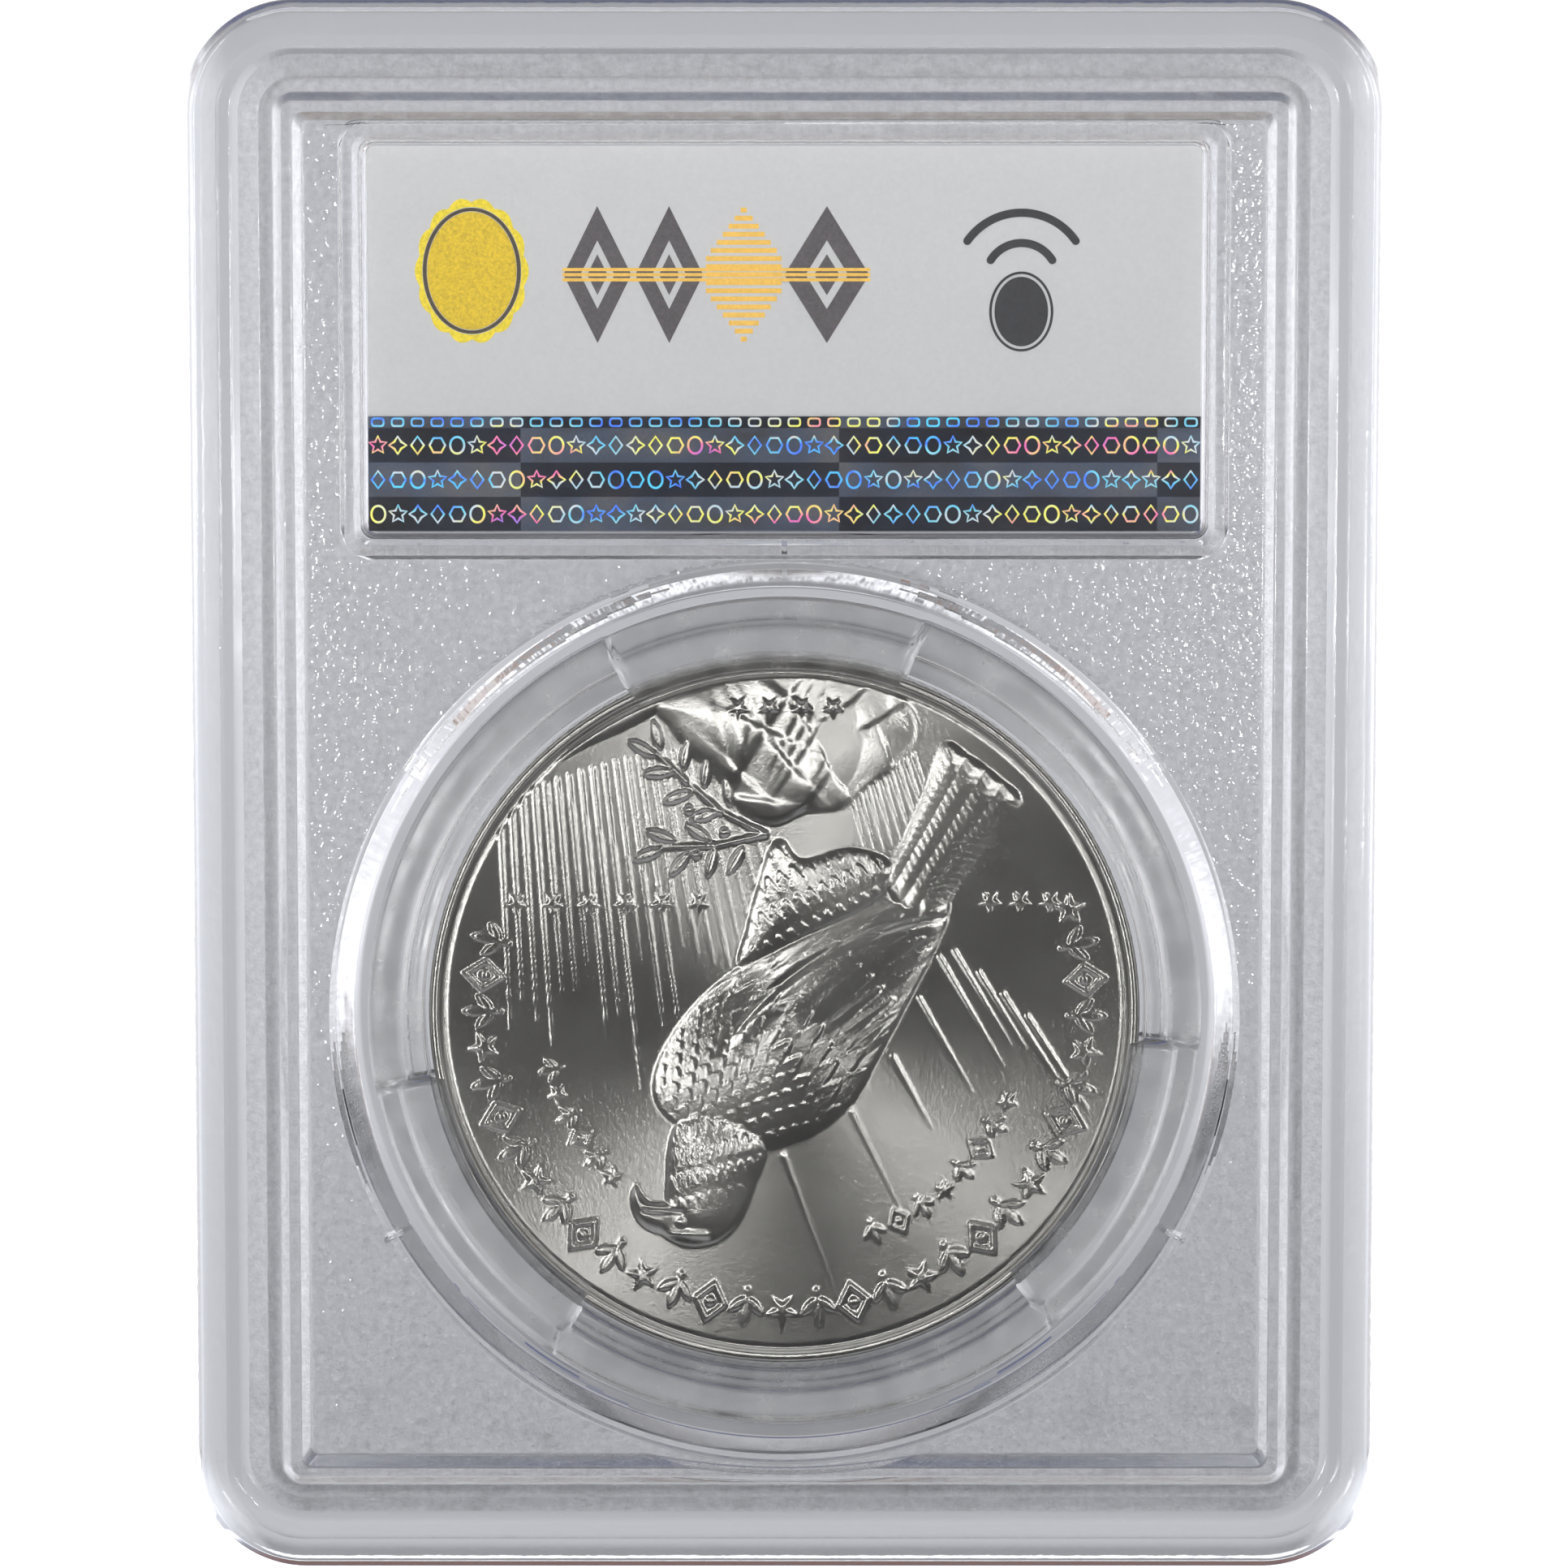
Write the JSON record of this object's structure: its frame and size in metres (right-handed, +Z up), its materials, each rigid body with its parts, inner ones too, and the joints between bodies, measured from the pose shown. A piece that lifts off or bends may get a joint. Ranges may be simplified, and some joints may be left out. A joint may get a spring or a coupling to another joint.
{
  "type": "graded coin slab",
  "caption": "Sealed clear plastic holder that shows a large silver coin, held by a pronged ring, under a label with a wireless tag.",
  "frame": {"origin": "centre of the slab's footprint on its bottom edge", "axes": "+Z up along the height, label at the top; X across the width; the back, with the security strip, faces -Y and the front faces +Y"},
  "size_m": [0.0636, 0.008, 0.084],
  "materials": {
    "clear_plastic": "clear, polished, with frosted inner faces round the windows",
    "ring_plastic": "clear, slightly hazy",
    "silver": "struck silver with lustre",
    "paper": "white label stock",
    "foil": "dark diffractive foil",
    "film": "thin clear film",
    "tag_metal": "etched aluminium",
    "silicon": "bare chip"
  },
  "bodies": {
    "root": {"back_shell": "clear_plastic", "front_shell": "clear_plastic", "coin_ring": "ring_plastic", "coin": "silver", "label_back_ply": "paper", "label_front_ply": "paper", "hologram_strip": "foil", "tag_film": "film", "tag_antenna": "tag_metal", "tag_jumper": "tag_metal", "tag_chip": "silicon"}
  },
  "joints": []
}
